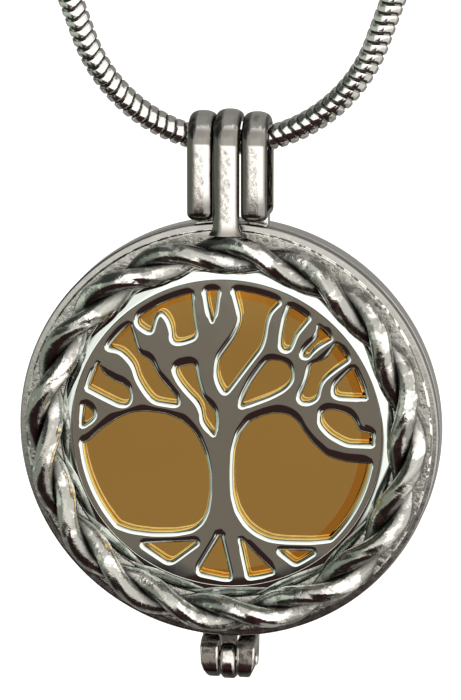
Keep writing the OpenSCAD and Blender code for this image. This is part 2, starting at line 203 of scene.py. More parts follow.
# metals: base colour and roughness, the grain's scale per metre and its bump, and what some have besides:
# pits, painted shade where the piece's own attribute says so, and patches of another shade
metalLook = {
    "plate": {"base": (0.535, 0.58, 0.55), "rough": 0.045, "grain": 600.0},
    # walls of the openings: rougher because sawn, and dark with painted shade inside the openings
    "sawnShade": {"base": (0.20, 0.18, 0.16), "rough": 0.30, "grain": 1500.0},
    "cast": {"base": (0.34, 0.335, 0.31), "rough": 0.30, "grain": 2600.0, "bump": 0.6, "pits": 1500.0},
    "rim": {
        "base": (0.31, 0.305, 0.29), "rough": 0.24, "grain": 1500.0, "bump": 0.12, "pits": 700.0,
        "patches": {"scale": 1100.0, "from": 0.60, "to": 0.66, "base": (0.34, 0.33, 0.31), "rough": 0.2},
    },
    "sparkle": {
        "base": (0.16, 0.155, 0.145), "rough": 0.25, "grain": 2200.0, "bump": 0.4,
        "patches": {"scale": 1300.0, "from": 0.47, "to": 0.52, "base": (0.72, 0.71, 0.68), "rough": 0.15},
    },
    "rope": {
        "base": (0.33, 0.328, 0.305), "rough": 0.20, "grain": 2200.0, "bump": 0.3, "pits": 900.0,
        # painted shade in the crevices between the strands and low down beside them
        "dark": ("creviceShade", (0.018, 0.016, 0.015)),
        "patches": {"scale": 560.0, "from": 0.50, "to": 0.58, "base": (0.74, 0.725, 0.69), "rough": 0.12},
    },
    "smooth": {"base": (0.62, 0.61, 0.59), "rough": 0.10, "grain": 1500.0, "bump": 0.05},
    "strap": {
        "base": (0.70, 0.69, 0.66), "rough": 0.18, "grain": 4200.0, "bump": 0.25, "stretch": 3.0,
        # painted shade where the strap's attribute says so
        "dark": ("paintedShade", (0.095, 0.085, 0.075)),
        "patches": {"scale": 600.0, "from": 0.60, "to": 0.70, "base": (0.42, 0.40, 0.37), "rough": 0.3},
    },
    "hinge": {
        "base": (0.58, 0.56, 0.53), "rough": 0.18, "grain": 1800.0, "bump": 0.15,
        # painted shade below the pin and in the recess, where the hinge's attribute says so
        "dark": ("paintedShade", (0.018, 0.016, 0.015)),
        "patches": {"scale": 900.0, "from": 0.46, "to": 0.60, "base": (0.36, 0.335, 0.30), "rough": 0.34},
    },
    "gold": {"base": (1.0, 0.665, 0.20), "rough": 0.035, "grain": 500.0},
    # a darker gold on the ring round the capsule's mirror: painted shade
    "amberShade": {"base": (0.94, 0.46, 0.07), "rough": 0.05, "grain": 500.0},
    "chain": {"base": (0.66, 0.65, 0.63), "rough": 0.12, "grain": 2600.0, "bump": 0.10},
    # a dark tube inside the chain's links: painted shade in the gaps between them
    "shadeCore": {"base": (0.05, 0.048, 0.045), "rough": 0.5, "grain": 900.0},
}
everyMetal = {
    "shadeScale": 140.0,  # soft changes of shade
    "darker": 0.95,
    "lighter": 1.05,
    "wear": (0.3, 0.75),  # where the grain is smoothest and where it is roughest
    "smoother": 0.85,
    "rougher": 1.2,
    "pitDepth": 1.6,
    "bumpHeight": 0.0001,
}


def noiseAt(tree, place, scale, **settings):
    noise = newNode(tree, "ShaderNodeTexNoise", Scale=scale, **settings)
    feed(tree, place, noise.inputs["Vector"])
    return noise.outputs["Fac"]


def makeMetal(name, look):
    base, rough = look["base"], look["rough"]
    material = bpy.data.materials.new(name + "Metal")
    material.use_nodes = True
    tree = material.node_tree
    shader = tree.nodes["Principled BSDF"]
    shader.inputs["Metallic"].default_value = 1.0
    place = tree.nodes.new("ShaderNodeTexCoord").outputs["Object"]
    if "stretch" in look:  # streaks along Z
        long = newNode(tree, "ShaderNodeMapping", Scale=(1.0, 1.0, 1.0 / look["stretch"]))
        feed(tree, place, long.inputs["Vector"])
        place = long.outputs[0]
    wear = noiseAt(tree, place, look["grain"], Detail=3.0)
    soft = noiseAt(tree, place, everyMetal["shadeScale"], Detail=2.0)
    darker = tuple(everyMetal["darker"] * c for c in base)
    lighter = tuple(min(1.0, everyMetal["lighter"] * c) for c in base)
    colour = mixColour(tree, soft, darker, lighter)
    least, most = rough * everyMetal["smoother"], rough * everyMetal["rougher"]
    roughness = ease(tree, wear, *everyMetal["wear"], least, most)
    if "patches" in look:
        spots = look["patches"]
        cloud = noiseAt(tree, place, spots["scale"], Detail=5.0, Roughness=0.62)
        share = ease(tree, cloud, spots["from"], spots["to"])
        colour = mixColour(tree, share, colour, spots["base"])
        roughness = maths(tree, "MULTIPLY_ADD", share, spots["rough"] - rough, roughness)
    if "dark" in look:
        # painted shade, as strong as the piece's attribute says
        attribute, shade = look["dark"]
        tone = newNode(tree, "ShaderNodeAttribute", attribute_name=attribute)
        colour = mixColour(tree, tone.outputs["Fac"], colour, shade)
    feed(tree, colour, shader.inputs["Base Color"])
    feed(tree, roughness, shader.inputs["Roughness"])
    if "bump" in look:
        height = wear
        if "pits" in look:
            pits = noiseAt(tree, place, look["pits"], Detail=4.0, Roughness=0.7)
            height = maths(tree, "ADD", wear, maths(tree, "MULTIPLY", pits, everyMetal["pitDepth"]))
        bump = newNode(tree, "ShaderNodeBump", Strength=look["bump"], Distance=everyMetal["bumpHeight"])
        feed(tree, height, bump.inputs["Height"])
        feed(tree, bump.outputs[0], shader.inputs["Normal"])
    return material


metals = {name: makeMetal(name, look) for name, look in metalLook.items()}
print("metals mixed")


# shaping helpers, all in millimetres
def spinRound(points, steps, axis="Y", closed=True):
    # points are (radius, along) pairs of an outline, spun once round the axis
    bm = bmesh.new()
    verts = [bm.verts.new((r, along, 0) if axis == "Y" else (along, 0, r)) for r, along in points]
    ends = list(zip(verts, verts[1:])) + ([(verts[-1], verts[0])] if closed else [])
    edges = [bm.edges.new(pair) for pair in ends]
    turn = Vector((0, 1, 0)) if axis == "Y" else Vector((1, 0, 0))
    bmesh.ops.spin(bm, geom=verts + edges, cent=(0, 0, 0), axis=turn, angle=math.tau,
                   steps=steps, use_merge=True)
    bmesh.ops.remove_doubles(bm, verts=bm.verts, dist=0.0005)
    bmesh.ops.recalc_face_normals(bm, faces=bm.faces)
    return bm


def roundEdges(bm, width, segments=3, sharpFrom=25.0, choose=None):
    limit = math.radians(sharpFrom)
    edges = [e for e in bm.edges if len(e.link_faces) == 2 and e.calc_face_angle() > limit
             and (choose is None or choose(e))]
    bmesh.ops.bevel(bm, geom=edges, offset=width, offset_type="OFFSET", segments=segments,
                    profile=0.5, affect="EDGES", material=-1, clamp_overlap=True)


def sweep(bm, section, places, closed=False):
    # a closed outline of points carried from place to place; a closed sweep ends where it starts
    verts = [bm.verts.new(p) for p in section]
    edges = [bm.edges.new((verts[i], verts[(i + 1) % len(verts)])) for i in range(len(verts))]
    bmesh.ops.transform(bm, matrix=places[0], verts=verts)
    if not closed:
        bmesh.ops.edgeloop_fill(bm, edges=edges)
    for before, here in zip(places, places[1:]):
        made = bmesh.ops.extrude_edge_only(bm, edges=edges)["geom"]
        verts = [g for g in made if isinstance(g, bmesh.types.BMVert)]
        edges = [g for g in made if isinstance(g, bmesh.types.BMEdge)]
        bmesh.ops.transform(bm, matrix=here @ before.inverted(), verts=verts)
    if not closed:
        bmesh.ops.edgeloop_fill(bm, edges=edges)


def closeUp(bm):
    bmesh.ops.remove_doubles(bm, verts=bm.verts, dist=0.001)
    bmesh.ops.recalc_face_normals(bm, faces=bm.faces)


def addBlock(bm, low, high, soft, segments):
    # a box with round edges, joined to what bm holds already
    box = bmesh.new()
    bmesh.ops.create_cube(box, size=1.0)
    bmesh.ops.scale(box, vec=[b - a for a, b in zip(low, high)], verts=box.verts)
    bmesh.ops.translate(box, vec=[(a + b) / 2 for a, b in zip(low, high)], verts=box.verts)
    roundEdges(box, soft, segments)
    mesh = bpy.data.meshes.new("box")
    box.to_mesh(mesh)
    box.free()
    bm.from_mesh(mesh)
    bpy.data.meshes.remove(mesh)


def softStep(value, most, start, full):
    # rises smoothly from 0 at start to most at full
    share = min(1.0, max(0.0, (value - start) / (full - start)))
    return most * share * share * (3 - 2 * share)


def addPiece(name, bm, metal, body, nodes, shift=locketCentre, crease=32.0, flatWeights=True):
    bmesh.ops.translate(bm, vec=shift, verts=bm.verts)
    bmesh.ops.scale(bm, vec=(mm, mm, mm), verts=bm.verts)
    for face in bm.faces:
        face.smooth = True
    for edge in bm.edges:
        if len(edge.link_faces) == 2 and edge.calc_face_angle() > math.radians(crease):
            edge.smooth = False
    mesh = bpy.data.meshes.new(name)
    bm.to_mesh(mesh)
    bm.free()
    piece = bpy.data.objects.new(name, mesh)
    scene.collection.objects.link(piece)
    for material in metal if isinstance(metal, list) else [metal]:
        mesh.materials.append(material)
    if flatWeights:
        weights = piece.modifiers.new("weights", "WEIGHTED_NORMAL")
        weights.keep_sharp = True
    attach(piece, body)
    for node in nodes:
        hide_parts(node)


# front cover: tree plate
treePlate = {
    "windowRadius": 11.05,
    "treeRadius": 10.7,  # every opening lies inside it
    "front": 1.8,
    "back": 1.05,
    "solidBack": 0.6,  # where the walls of the solid's openings end
    "slack": 0.05,  # allowed when faces are told apart by depth and radius
    "edgeRound": 0.31,
    "upperRound": 0.72,  # the edges that face up are rounded further
    "upperPower": 1.5,
    "edgeInset": 0.36,  # share of the rounding that lies inside the opening
    "upperInset": 0.8,  # how much less of it there is on edges that face up
    "edgeSteps": 7,
    "edgeBorder": 1.12,  # a narrow flat border keeps the face's shading flat
    "edgeShare": 0.55,  # of the metal between two openings
    "rimReach": 1.4,  # the rim is as good as this much further away
    "nearPoints": 60,  # looked at round each point to find another opening
    "farAway": 9.0,  # where none is found
    "evenTurns": 4,
    "crossReach": 0.35,
    "narrowTurns": 30,  # at most
    "narrowBy": 0.8,
    "longestEdge": 0.168,
    "smoothing": 2,
    "rimSteps": 192,
    "sag": 0.022,  # how far back the plate's lowest edge lies
    "sagPower": 8,
}


def openingLoops(look):
    # the outlines of the openings, each an ordered list of points (x, z) on the plate's front
    front, back = -look["front"], -look["solidBack"]
    bm = bmesh.new()
    bm.from_mesh(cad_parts["front_cover"].data)
    bmesh.ops.scale(bm, vec=(1000, 1000, 1000), verts=bm.verts)
    bmesh.ops.translate(bm, vec=-locketCentre, verts=bm.verts)
    bmesh.ops.remove_doubles(bm, verts=bm.verts, dist=0.002)
    bm.normal_update()

    def isWall(face):
        depths = [v.co.y for v in face.verts]
        reach = max(math.hypot(v.co.x, v.co.z) for v in face.verts)
        inPlate = min(depths) > front - look["slack"] and max(depths) < back + look["slack"]
        return abs(face.normal.y) < 0.1 and reach < look["treeRadius"] and inPlate

    def isOutline(edge):
        onFront = all(abs(v.co.y - front) < 0.01 for v in edge.verts)
        return onFront and any(isWall(face) for face in edge.link_faces)

    nextTo = {}
    for edge in filter(isOutline, bm.edges):
        for v in edge.verts:
            nextTo.setdefault(v, []).append(edge.other_vert(v))
    loops = []
    while nextTo:
        here = next(iter(nextTo))
        loop = []
        while here:
            near = nextTo.pop(here)
            loop.append((here.co.x, here.co.z))
            here = next((v for v in near if v in nextTo), None)
        loops.append(loop)
    bm.free()
    return loops


def neighbours(loop):
    return zip(loop[-1:] + loop[:-1], loop, loop[1:] + loop[:1])


def evened(reach, loop):
    return {v: (reach[a] + 2 * reach[v] + reach[b]) / 4 for a, v, b in neighbours(loop)}


def drawOpenings(bm, look):
    # the outlines as closed loops of short edges that all run the same way round
    for outline in openingLoops(look):
        verts = [bm.verts.new((x, -look["front"], z)) for x, z in outline]
        for a, b in zip(verts, verts[1:] + verts[:1]):
            bm.edges.new((a, b))
    while True:  # halve the edges until they are all short
        long = [e for e in bm.edges if e.calc_length() > look["longestEdge"]]
        if not long:
            break
        bmesh.ops.bisect_edges(bm, edges=long, cuts=1)
    loops, seen = [], set()
    for start in list(bm.verts):
        if start in seen:
            continue
        loop, here = [], start
        while here:
            loop.append(here)
            seen.add(here)
            here = next((v for v in (e.other_vert(here) for e in here.link_edges) if v not in seen), None)
        area = sum(a.co.x * b.co.z - b.co.x * a.co.z for a, b in zip(loop, loop[1:] + loop[:1]))
        loops.append(loop if area > 0 else loop[::-1])
    for turn in range(look["smoothing"]):
        bmesh.ops.smooth_vert(bm, verts=bm.verts, factor=0.5,
                              use_axis_x=True, use_axis_y=False, use_axis_z=True)
    return loops


def edgeRoom(loops, look):
    # for each point of the outlines, the way out of the opening and how far its edge may be rounded
    near = KDTree(sum(len(loop) for loop in loops))
    owner = []
    for number, loop in enumerate(loops):
        for v in loop:
            near.insert(v.co, len(owner))
            owner.append(number)
    near.balance()
    soft, upper = look["edgeRound"], look["upperRound"]
    away, reach = {}, {}
    for number, loop in enumerate(loops):
        for before, v, after in neighbours(loop):
            along = (after.co - before.co).normalized()
            away[v] = Vector((along.z, 0, -along.x))
            others = [d for co, i, d in near.find_n(v.co, look["nearPoints"]) if owner[i] != number]
            gap = min(others or [look["farAway"]])
            toRim = look["rimReach"] * (look["windowRadius"] - math.hypot(v.co.x, v.co.z))
            wide = soft + (upper - soft) * max(0.0, away[v].z) ** look["upperPower"]
            reach[v] = min(wide, look["edgeShare"] * gap, look["edgeShare"] * toRim)
        for turn in range(look["evenTurns"]):
            reach.update(evened(reach, loop))
    return away, reach


def crossedPoints(loops, place, reach):
    # the points beside which the outlines through place(point) cross themselves or each other;
    # no two edges farther apart than reach are compared
    parts = [(a, b) for loop in loops for a, b in zip(loop, loop[1:] + loop[:1])]
    ends = [(place(a), place(b)) for a, b in parts]
    near = KDTree(len(parts))
    for i, (p, q) in enumerate(ends):
        near.insert((p + q) / 2, i)
    near.balance()
    crossed = set()
    for i, (p, q) in enumerate(ends):
        for middle, j, away in near.find_range((p + q) / 2, reach):
            if j > i and not set(parts[i]) & set(parts[j]):
                r, s = ends[j]
                if intersect_line_line_2d(p.xz, q.xz, r.xz, s.xz):
                    crossed.update(parts[i] + parts[j])
    return crossed


def narrowCrossings(loops, away, reach, inside, look):
    # narrows the rounding wherever its borders would fold over each other
    for turn in range(look["narrowTurns"]):
        crossed = set()
        for outer in (look["edgeBorder"], 0.0):
            crossed |= crossedPoints(loops, lambda v: v.co + away[v] * reach[v] * (outer - inside[v]),
                                     look["crossReach"])
        if not crossed:
            break
        for loop in loops:
            for i, v in enumerate(loop):
                if crossed.intersection(loop[(i + k) % len(loop)] for k in (-2, -1, 0, 1, 2)):
                    reach[v] *= look["narrowBy"]
            for v, wide in evened(reach, loop).items():
                reach[v] = min(reach[v], wide)
    print("edge rounding fitted after", turn, "turns,", len(crossed), "points crossed")


def roundOpenings(bm, ring, away, reach, look):
    # carries the edges outwards and forwards over a quarter round to the plate's face
    turns = [math.pi / 2 * i / look["edgeSteps"] for i in range(1, look["edgeSteps"] + 1)]
    steps = [(1 - math.cos(a), math.sin(a)) for a in turns] + [(look["edgeBorder"], 1.0)]
    base = {v: v.co.copy() for v in away}
    source = {v: v for v in away}
    for out, up in steps:
        old = set(source)
        made = bmesh.ops.extrude_edge_only(bm, edges=ring)["geom"]
        ring = [g for g in made if isinstance(g, bmesh.types.BMEdge)]
        grown = {}
        for v in (g for g in made if isinstance(g, bmesh.types.BMVert)):
            root = source[next(e.other_vert(v) for e in v.link_edges if e.other_vert(v) in old)]
            grown[v] = root
            v.co = base[root] + away[root] * reach[root] * out
            v.co.y -= min(look["edgeRound"], reach[root]) * up
        source = grown
    return ring


def fillPlate(bm, ring, height, look):
    # the flat face between the window's round edge and the openings
    radius = look["windowRadius"]
    circle = bmesh.ops.create_circle(bm, cap_ends=False, segments=look["rimSteps"], radius=radius)["verts"]
    bmesh.ops.rotate(bm, cent=(0, 0, 0), matrix=Matrix.Rotation(math.pi / 2, 3, "X"), verts=circle)
    bmesh.ops.translate(bm, vec=(0, height, 0), verts=circle)
    if height == -look["front"]:
        for v in circle:
            v.co.y += look["sag"] * max(0.0, -v.co.z / radius) ** look["sagPower"]
    around = list({e for v in circle for e in v.link_edges})
    bmesh.ops.triangle_fill(bm, use_beauty=True, edges=around + ring, normal=(0, -1, 0))


def makeTreePlate(look):
    front, back = -look["front"], -look["back"]
    bm = bmesh.new()
    loops = drawOpenings(bm, look)
    away, reach = edgeRoom(loops, look)
    inside = {v: look["edgeInset"] * (1 - look["upperInset"] * max(0.0, away[v].z)) for v in away}
    narrowCrossings(loops, away, reach, inside, look)
    for v in away:
        v.co -= away[v] * reach[v] * inside[v]
    ring = list(bm.edges)
    wall = bmesh.ops.extrude_edge_only(bm, edges=ring)["geom"]
    bottom = [g for g in wall if isinstance(g, bmesh.types.BMEdge)]
    for v in (g for g in wall if isinstance(g, bmesh.types.BMVert)):
        v.co.y = back
    for v in away:
        v.co.y = front + min(look["edgeRound"], reach[v])
    ring = roundOpenings(bm, ring, away, reach, look)
    fillPlate(bm, ring, front, look)
    fillPlate(bm, bottom, back, look)
    bmesh.ops.bridge_loops(bm, edges=[e for e in bm.edges if e.is_boundary])
    bmesh.ops.recalc_face_normals(bm, faces=bm.faces)
    rim = look["windowRadius"] - look["slack"]
    for face in bm.faces:  # the sawn walls of the openings are rougher, and dark with painted shade inside the openings
        depths = [v.co.y for v in face.verts]
        leavesBack = max(depths) > back - 0.001 and min(depths) < back - 0.001
        reachesOut = max(math.hypot(v.co.x, v.co.z) for v in face.verts) > rim
        face.material_index = int(leavesBack and not reachesOut)
    openEdges = sum(not e.is_manifold for e in bm.edges)
    print("tree plate:", len(loops), "openings,", len(bm.faces), "faces,", openEdges, "open edges")
    slots = [metals["plate"], metals["sawnShade"]]
    addPiece("treePlate", bm, slots, "front", ["front_cover"], crease=50.0, flatWeights=False)


makeTreePlate(treePlate)


# front cover: flange and bezel
frontRim = {
    "steps": 192,
    # radius and depth in front of the seam
    "outline": [(12.95, 0.05), (15.0, 0.05), (15.0, 0.88), (14.90, 0.98), (14.52, 0.98), (14.44, 1.10),
                (13.4, 1.10), (12.7, 1.6), (12.1, 1.5), (11.95, 1.45), (11.90, 1.58), (11.80, 1.62),
                (11.65, 1.67), (11.50, 1.712), (11.35, 1.748), (11.20, 1.776), (11.05, 1.80), (11.05, 0.60),
                (12.95, 0.60)],
    "soft": 0.07,
    "sharpFrom": 12.0,
    # each metal and the radius where the next one starts
    "metals": [("plate", 11.9), ("cast", 14.40), ("sparkle", 14.54), ("rim", 15.5)],
}


def makeFrontRim(look):
    bm = spinRound([(r, -d) for r, d in look["outline"]], look["steps"])
    roundEdges(bm, look["soft"], 3, look["sharpFrom"])
    for face in bm.faces:
        centre = face.calc_center_median()
        out = math.hypot(centre.x, centre.z)
        face.material_index = sum(out > radius for name, radius in look["metals"])
    slots = [metals[name] for name, radius in look["metals"]]
    addPiece("frontRim", bm, slots, "front", ["front_cover"])


makeFrontRim(frontRim)


# front cover: twisted rope
ropeBorder = {
    "ringRadius": 13.0,
    "depth": 2.2,
    "strandRadius": 0.78,
    "lay": 0.62,  # from the rope's middle to a strand's middle
    "twists": 8,
    "start": -22.0,  # degrees that the strands are turned at the top
    # a shallow groove along each strand: how deep, and its angle and width in radians
    "groove": 0.10,
    "grooveAt": 0.15,
    "grooveWidth": 0.42,
    "sections": 480,
    "points": 20,  # on each strand
    # painted shade: dark between the strands, and low down beside them
    "gapReach": 0.62,
    "gapHeight": 0.5,
    "gapDark": 1.6,
    "lowFrom": 1.1,
    "lowTo": 1.7,
    "lowDark": 0.75,
}


def ropePlace(look, around):
    # around is clockwise from the top, seen from the front
    turn = math.radians(look["start"]) + look["twists"] * around
    centre = Matrix.Translation((0, -look["depth"], look["ringRadius"]))
    return Matrix.Rotation(around, 4, "Y") @ centre @ Matrix.Rotation(turn, 4, "X")


def makeRopeBorder(look):
    # one outline round both strands, from where they cross on one side to the other
    waist = math.acos(look["lay"] / look["strandRadius"])
    outline = []
    for side in (1, -1):
        for i in range(look["points"]):
            angle = -math.pi + waist + (math.tau - 2 * waist) * i / (look["points"] - 1)
            dip = look["groove"] * math.exp(-(((angle - look["grooveAt"]) / look["grooveWidth"]) ** 2))
            radius = look["strandRadius"] - dip
            aside, ahead = radius * math.sin(angle), look["lay"] + radius * math.cos(angle)
            outline.append((0, side * aside, side * ahead))
    outline = [p for i, p in enumerate(outline) if i % look["points"]]
    bm = bmesh.new()
    places = [ropePlace(look, math.tau * i / look["sections"]) for i in range(look["sections"] + 1)]
    sweep(bm, outline, places, closed=True)
    closeUp(bm)
    # painted shade: darker between the strands and low down beside them
    tone = bm.verts.layers.float.new("creviceShade")
    for v in bm.verts:
        around = math.atan2(v.co.x, v.co.z)
        local = ropePlace(look, around).inverted() @ v.co
        gap = 1.0 - min(1.0, math.hypot(local.z, look["gapHeight"] * local.y) / look["gapReach"])
        low = 1.0 - min(1.0, max(0.0, (-v.co.y - look["lowFrom"]) / (look["lowTo"] - look["lowFrom"])))
        v[tone] = min(1.0, max(gap * look["gapDark"], low * look["lowDark"]))
    addPiece("ropeBorder", bm, metals["rope"], "front", ["front_cover"],
             crease=60.0, flatWeights=False)


makeRopeBorder(ropeBorder)
print("front cover made")


# bail straps
bailStraps = {
    "width": 1.82,
    "places": (-1.87, 1.94),
    "arcCentre": 20.6,
    "middleThick": 0.85,
    "middleRadius": 1.925,
    # the middle strap's flared foot: y, z, and how much wider and thicker it is there
    "middleFlare": [(-1.98, 14.28, 1.34, 1.16), (-1.97, 14.42, 1.24, 1.12), (-1.95, 14.6, 1.12, 1.06),
                    (-1.93, 14.85, 1.03, 1.01)],
    "middleFrom": 15.2,
    "middleHook": 115,  # degrees that it turns over the chain
    "middleRoot": ((-0.8, -1.70, 13.7), (0.8, -0.12, 15.2)),  # the block that joins the strap to its cover
    # painted shade: how dark the foot is, and minus the heights where that starts and is full
    "middleDark": (0.8, -15.4, -14.4),
    "outerThick": 0.75,
    "outerRadius": 1.825,
    "outerFoot": 15.9,
    "outerTurnIn": 1.45,
    "outerRoot": ((-0.75, 0.12, 14.4), (0.75, 1.33, 15.7)),
    "outerDark": (0.8, -17.6, -16.3),
    "crown": 0.47,
    "crownPower": 0.9,
    "broken": 0.08,
    "rootRound": 0.2,
    # painted shade: how dark, where it starts and where it is full; shares of the half width, degrees round
    # the bend
    "leftDark": (0.92, 0.2, 0.48),
    "rightDark": (0.95, 0.68, 0.9),
    "bendDark": (0.85, 0.5, 4.0),
    "bendLight": (0.75, 28.0, 40.0),
}


def strapSection(look, thick):
    # x across the strap, y outward; the outer side is a crown, the inner corners are broken
    half, low, crown, broken = look["width"] / 2, -thick / 2, look["crown"], look["broken"]
    points = [(-half + broken, low), (-half, low + broken)]
    for i in range(17):
        angle = math.pi * (1 - i / 16)
        c, s = math.cos(angle), math.sin(angle)
        out = math.copysign(abs(c) ** look["crownPower"], c)
        points.append((half * out, thick / 2 - crown + crown * s))
    points += [(half, low + broken), (half - broken, low)]
    return [(x, y, 0) for x, y in points]


def strapPlace(x, y, z, angle):
    # the strap's outward side points to angle, measured from the back over the top
    outward = Vector((0, math.cos(angle), math.sin(angle)))
    across = Vector((1, 0, 0))
    along = across.cross(outward)
    spot = Matrix.Translation((x, y, z))
    return spot @ Matrix((across, outward, along)).transposed().to_4x4()


def paintStrapShade(bm, look, x, footDark):
    # painted shade: dark sides, a dark band where the strap starts to bend over, and a dark foot in front
    tone = bm.verts.layers.float.new("paintedShade")
    for v in bm.verts:
        aside = (v.co.x - x) / (look["width"] / 2)
        sides = max(softStep(-aside, *look["leftDark"]), softStep(aside, *look["rightDark"]))
        over = math.degrees(math.atan2(v.co.z - look["arcCentre"], -v.co.y))
        band = softStep(over, *look["bendDark"]) * (1 - softStep(over, *look["bendLight"]))
        v[tone] = max(sides, band, softStep(-v.co.z, *footDark) if v.co.y < 0 else 0.0)


def makeMiddleStrap(look):
    r, top, start = look["middleRadius"], look["arcCentre"], look["middleFrom"]
    places = []
    for y, z, wide, thick in look["middleFlare"]:
        places.append(strapPlace(0, y, z, math.pi) @ Matrix.Diagonal((wide, thick, 1, 1)))
    places += [strapPlace(0, -r, start + (top - start) * i / 12, math.pi) for i in range(12)]
    for i in range(33):
        a = math.radians(180 - look["middleHook"] * i / 32)
        places.append(strapPlace(0, r * math.cos(a), top + r * math.sin(a), a))
    bm = bmesh.new()
    sweep(bm, strapSection(look, look["middleThick"]), places)
    closeUp(bm)
    paintStrapShade(bm, look, 0, look["middleDark"])
    addBlock(bm, *look["middleRoot"], look["rootRound"], 3)
    addPiece("middleStrap", bm, metals["strap"], "front", ["front_cover"], crease=50.0)


def makeOuterStraps(look):
    half, r, top = look["outerThick"] / 2, look["outerRadius"], look["arcCentre"]
    foot, turnIn = look["outerFoot"], look["outerTurnIn"]
    over = [math.pi * i / 40 for i in range(40, -1, -1)]
    for name, x in zip(("outerStrapLeft", "outerStrapRight"), look["places"]):
        places = [strapPlace(x, r * math.cos(a), top + r * math.sin(a), a) for a in over]
        places += [strapPlace(x, r, top + (foot - top) * i / 6, 0) for i in range(1, 6)]
        for i in range(9):
            a = -math.pi / 2 * i / 8
            places.append(strapPlace(x, turnIn + half * math.cos(a), foot + half * math.sin(a), a))
        places += [strapPlace(x, turnIn * (1 - i / 2), foot - half, -math.pi / 2) for i in range(1, 4)]
        for i in range(9):
            a = -math.pi / 2 - math.pi / 2 * i / 8
            places.append(strapPlace(x, -turnIn + half * math.cos(a), foot + half * math.sin(a), a))
        places += [strapPlace(x, -r, foot + (top - foot) * i / 14, -math.pi) for i in range(1, 15)]
        bm = bmesh.new()
        sweep(bm, strapSection(look, look["outerThick"]), places, closed=True)
        closeUp(bm)
        paintStrapShade(bm, look, x, look["outerDark"])
        low, high = look["outerRoot"]
        addBlock(bm, (x + low[0], *low[1:]), (x + high[0], *high[1:]), look["rootRound"], 3)
        addPiece(name, bm, metals["strap"], "back", ["back_cover"], crease=50.0)


makeMiddleStrap(bailStraps)
makeOuterStraps(bailStraps)
print("bail made")


# back cover, hinge and capsule
backCover = {
    "steps": 192,
    "radius": 15.0,
    "depth": 4.15,
    "bend": (2.4, 2.9),  # how far the wall's round goes in and back
    "inner": (12.95, 3.3),
    "seam": 0.05,
    "soft": 0.08,
    "softBeyond": 12.0,
}


def makeBackShell(look):
    radius, depth = look["radius"], look["depth"]
    (bendIn, bendBack), (inner, floor) = look["bend"], look["inner"]
    angles = [math.radians(a) for a in range(0, 91, 10)]
    wall = [(inner, look["seam"]), (radius, look["seam"])]
    wall += [(radius - bendIn * (1 - math.cos(a)), depth - bendBack * (1 - math.sin(a))) for a in angles]
    bm = spinRound(wall + [(0, depth), (0, floor), (inner, floor)], look["steps"])

    def isOutside(edge):
        return max(math.hypot(v.co.x, v.co.z) for v in edge.verts) > look["softBeyond"]

    roundEdges(bm, look["soft"], 3, 35.0, isOutside)
    addPiece("backShell", bm, metals["smooth"], "back", ["back_cover"])


hinge = {
    "pinHeight": -16.9,
    "pinRadius": 0.45,
    "pinBeyond": 0.03,
    "pinBroken": 0.1,
    "lugFrom": 0.66,
    "lugTo": 2.0,
    "lugRadius": 1.35,
    "lugTop": (1.74, 39.0, 90.0),  # radius, and from and to degrees above level
    "lugBack": [(0.1, 2.2), (1.15, 2.2), (1.35, 1.09)],  # back and up from the pin
    "lugNarrows": ((0.45, 0.139), (-0.45, 0.278)),  # below a height, by a share of the way down
    "knuckleRadius": 1.45,
    "knuckleHalf": 0.56,
    "knuckleBore": 0.5,
    "knuckleSoft": 0.06,
    "edge": 0.2,
    "web": ((-0.58, -0.65, -16.4), (0.58, -0.08, -14.9)),
    "webRound": 0.08,
    # painted shade: how dark, where it starts and where it is full, below and above the pin
    "lowDark": (0.8, 0.35, 0.6),
    "recessDark": (0.9, 0.8, 1.1),
}


def barrel(inner, radius, half, broken):
    # the outline of a short cylinder with broken corners
    return [(inner, -half), (radius - broken, -half), (radius, -half + broken), (radius, half - broken),
            (radius - broken, half), (inner, half)]


def paintHingeShade(bm, look, recess):
    # painted shade: dark below the pin, and on the middle knuckle also in the recess under the covers
    tone = bm.verts.layers.float.new("paintedShade")
    for v in bm.verts:
        z = v.co.z - look["pinHeight"]
        v[tone] = max(softStep(-z, *look["lowDark"]), softStep(z, *look["recessDark"]) if recess else 0.0)


def makeLugs(look):
    r, (topR, low, high) = look["lugRadius"], look["lugTop"]
    turns = [math.radians(low + (high - low) * i / 9) for i in range(10)]
    outline = [(-topR * math.cos(a), topR * math.sin(a)) for a in turns] + look["lugBack"]
    outline += [(r * math.cos(a), r * math.sin(a)) for a in (-math.pi * i / 20 for i in range(21))]
    for side in (-1, 1):
        bm = bmesh.new()
        face = bm.faces.new([bm.verts.new((look["lugFrom"], y, z)) for y, z in outline])
        made = bmesh.ops.extrude_face_region(bm, geom=[face])["geom"]
        outer = [g for g in made if isinstance(g, bmesh.types.BMVert)]
        for v in outer:
            below = [(max(0.0, height - v.co.z), share) for height, share in look["lugNarrows"]]
            v.co.x = look["lugTo"] - sum(down * share for down, share in below)
        bmesh.ops.recalc_face_normals(bm, faces=bm.faces)
        roundEdges(bm, look["edge"], 4, 45.0)
        if side < 0:
            bmesh.ops.scale(bm, vec=(-1, 1, 1), verts=bm.verts)
            bmesh.ops.reverse_faces(bm, faces=bm.faces)
        bmesh.ops.translate(bm, vec=(0, 0, look["pinHeight"]), verts=bm.verts)
        bmesh.ops.recalc_face_normals(bm, faces=bm.faces)
        paintHingeShade(bm, look, False)
        name = "hingeLugLeft" if side < 0 else "hingeLugRight"
        addPiece(name, bm, metals["hinge"], "back", ["back_cover"], crease=40.0)


